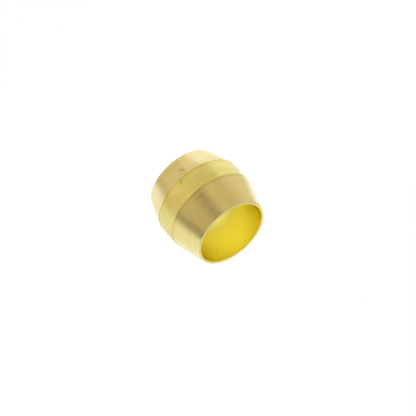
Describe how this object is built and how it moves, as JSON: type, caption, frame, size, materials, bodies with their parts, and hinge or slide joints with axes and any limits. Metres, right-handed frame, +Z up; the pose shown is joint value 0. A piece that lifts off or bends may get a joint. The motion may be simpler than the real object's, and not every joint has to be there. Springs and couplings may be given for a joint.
{
  "type": "compression olive",
  "caption": "Turned brass compression olive: a plain band between two cones, bored right through, squeezed by a nut onto a tube to seal it in a fitting.",
  "frame": {"origin": "centre of the lower end face, where the shorter cone stands", "axes": "+Z up along the bore, towards the end of the longer cone"},
  "size_m": [0.008, 0.008, 0.0069],
  "materials": {
    "brass": "turned, satin cones and a smoother band"
  },
  "bodies": {
    "root": {"olive": "brass"}
  },
  "joints": []
}
